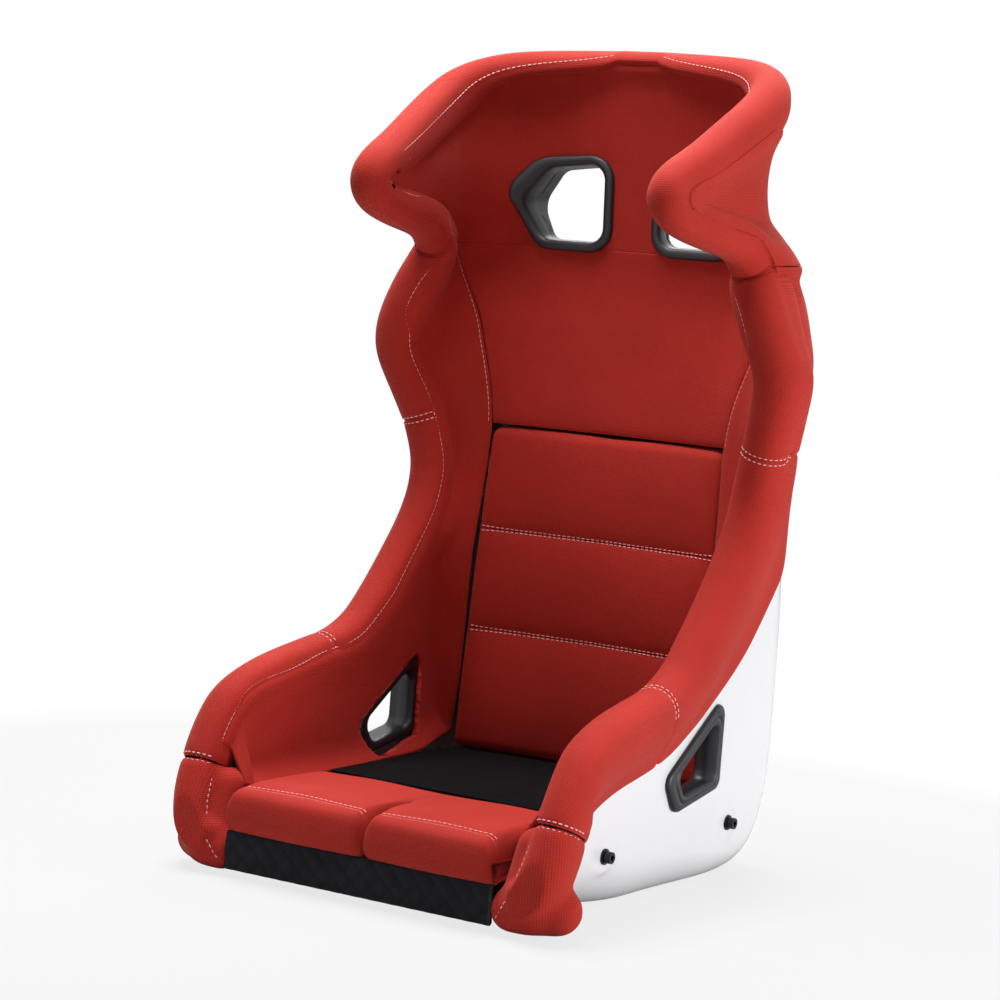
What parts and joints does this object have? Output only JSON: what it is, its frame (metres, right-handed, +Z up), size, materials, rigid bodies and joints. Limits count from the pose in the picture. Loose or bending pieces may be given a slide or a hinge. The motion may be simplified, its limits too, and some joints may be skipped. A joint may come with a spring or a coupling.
{
  "type": "racing seat",
  "caption": "Bucket racing seat with head-restraint wings, roll-edged fabric trim, removable back and thigh cushions, harness slots and side mounts.",
  "frame": {"origin": "On the flat underside of the shell, on the middle plane, 23 mm behind the point below the middle of the front pair of wings; z = 0 is the underside.", "axes": "+Z up along the back, -Y the way the seat faces, +X the occupant's left-hand side. The two side-mount screws of a side lie level, along Y."},
  "size_m": [0.5742, 0.579, 0.9552],
  "materials": {
    "gelcoat": "white gelcoat, glossy",
    "red_mesh_fabric": "red mesh weave over foam",
    "black_suede": "black suede-like fabric",
    "foam": "dark seat foam, hidden",
    "black_plastic": "black moulded plastic, satin",
    "plated_steel": "zinc plated, hidden",
    "black_steel": "black oxide"
  },
  "bodies": {
    "seat": {"shell": "gelcoat", "base_foam_rear": "foam", "base_foam_front": "foam", "seat_mat": "black_suede", "front_valance": "black_suede", "back_foam": "red_mesh_fabric", "upper_back_pad": "red_mesh_fabric", "head_pad": "red_mesh_fabric", "side_pad_left": "red_mesh_fabric", "side_pad_right": "red_mesh_fabric", "front_bolster_left": "red_mesh_fabric", "front_bolster_right": "red_mesh_fabric", "thigh_bolster_left": "red_mesh_fabric", "thigh_bolster_right": "red_mesh_fabric", "torso_bolster_left": "red_mesh_fabric", "torso_bolster_right": "red_mesh_fabric", "shoulder_bolster_left": "red_mesh_fabric", "shoulder_bolster_right": "red_mesh_fabric", "halo_rim": "red_mesh_fabric", "shoulder_cover_left": "red_mesh_fabric", "shoulder_cover_right": "red_mesh_fabric", "halo_cover_left": "red_mesh_fabric", "halo_cover_right": "red_mesh_fabric", "shoulder_slot_front_left": "black_plastic", "shoulder_slot_front_right": "black_plastic", "shoulder_slot_rear_left": "black_plastic", "shoulder_slot_rear_right": "black_plastic", "lap_slot_inner_left": "black_plastic", "lap_slot_inner_right": "black_plastic", "lap_slot_outer_left": "black_plastic", "lap_slot_outer_right": "black_plastic", "mount_inserts": "plated_steel", "mount_washers": "black_steel", "mount_screws": "black_steel"},
    "back_cushion": {"back_cushion": "red_mesh_fabric"},
    "thigh_cushion": {"thigh_cushion": "red_mesh_fabric"}
  },
  "joints": [
    {"name": "back_cushion_lift", "type": "slide", "parent": "seat", "child": "back_cushion", "axis": [0, -1, 0], "range_m": [0, 0.1]},
    {"name": "thigh_cushion_lift", "type": "slide", "parent": "seat", "child": "thigh_cushion", "axis": [0, 0, 1], "range_m": [0, 0.1]}
  ]
}
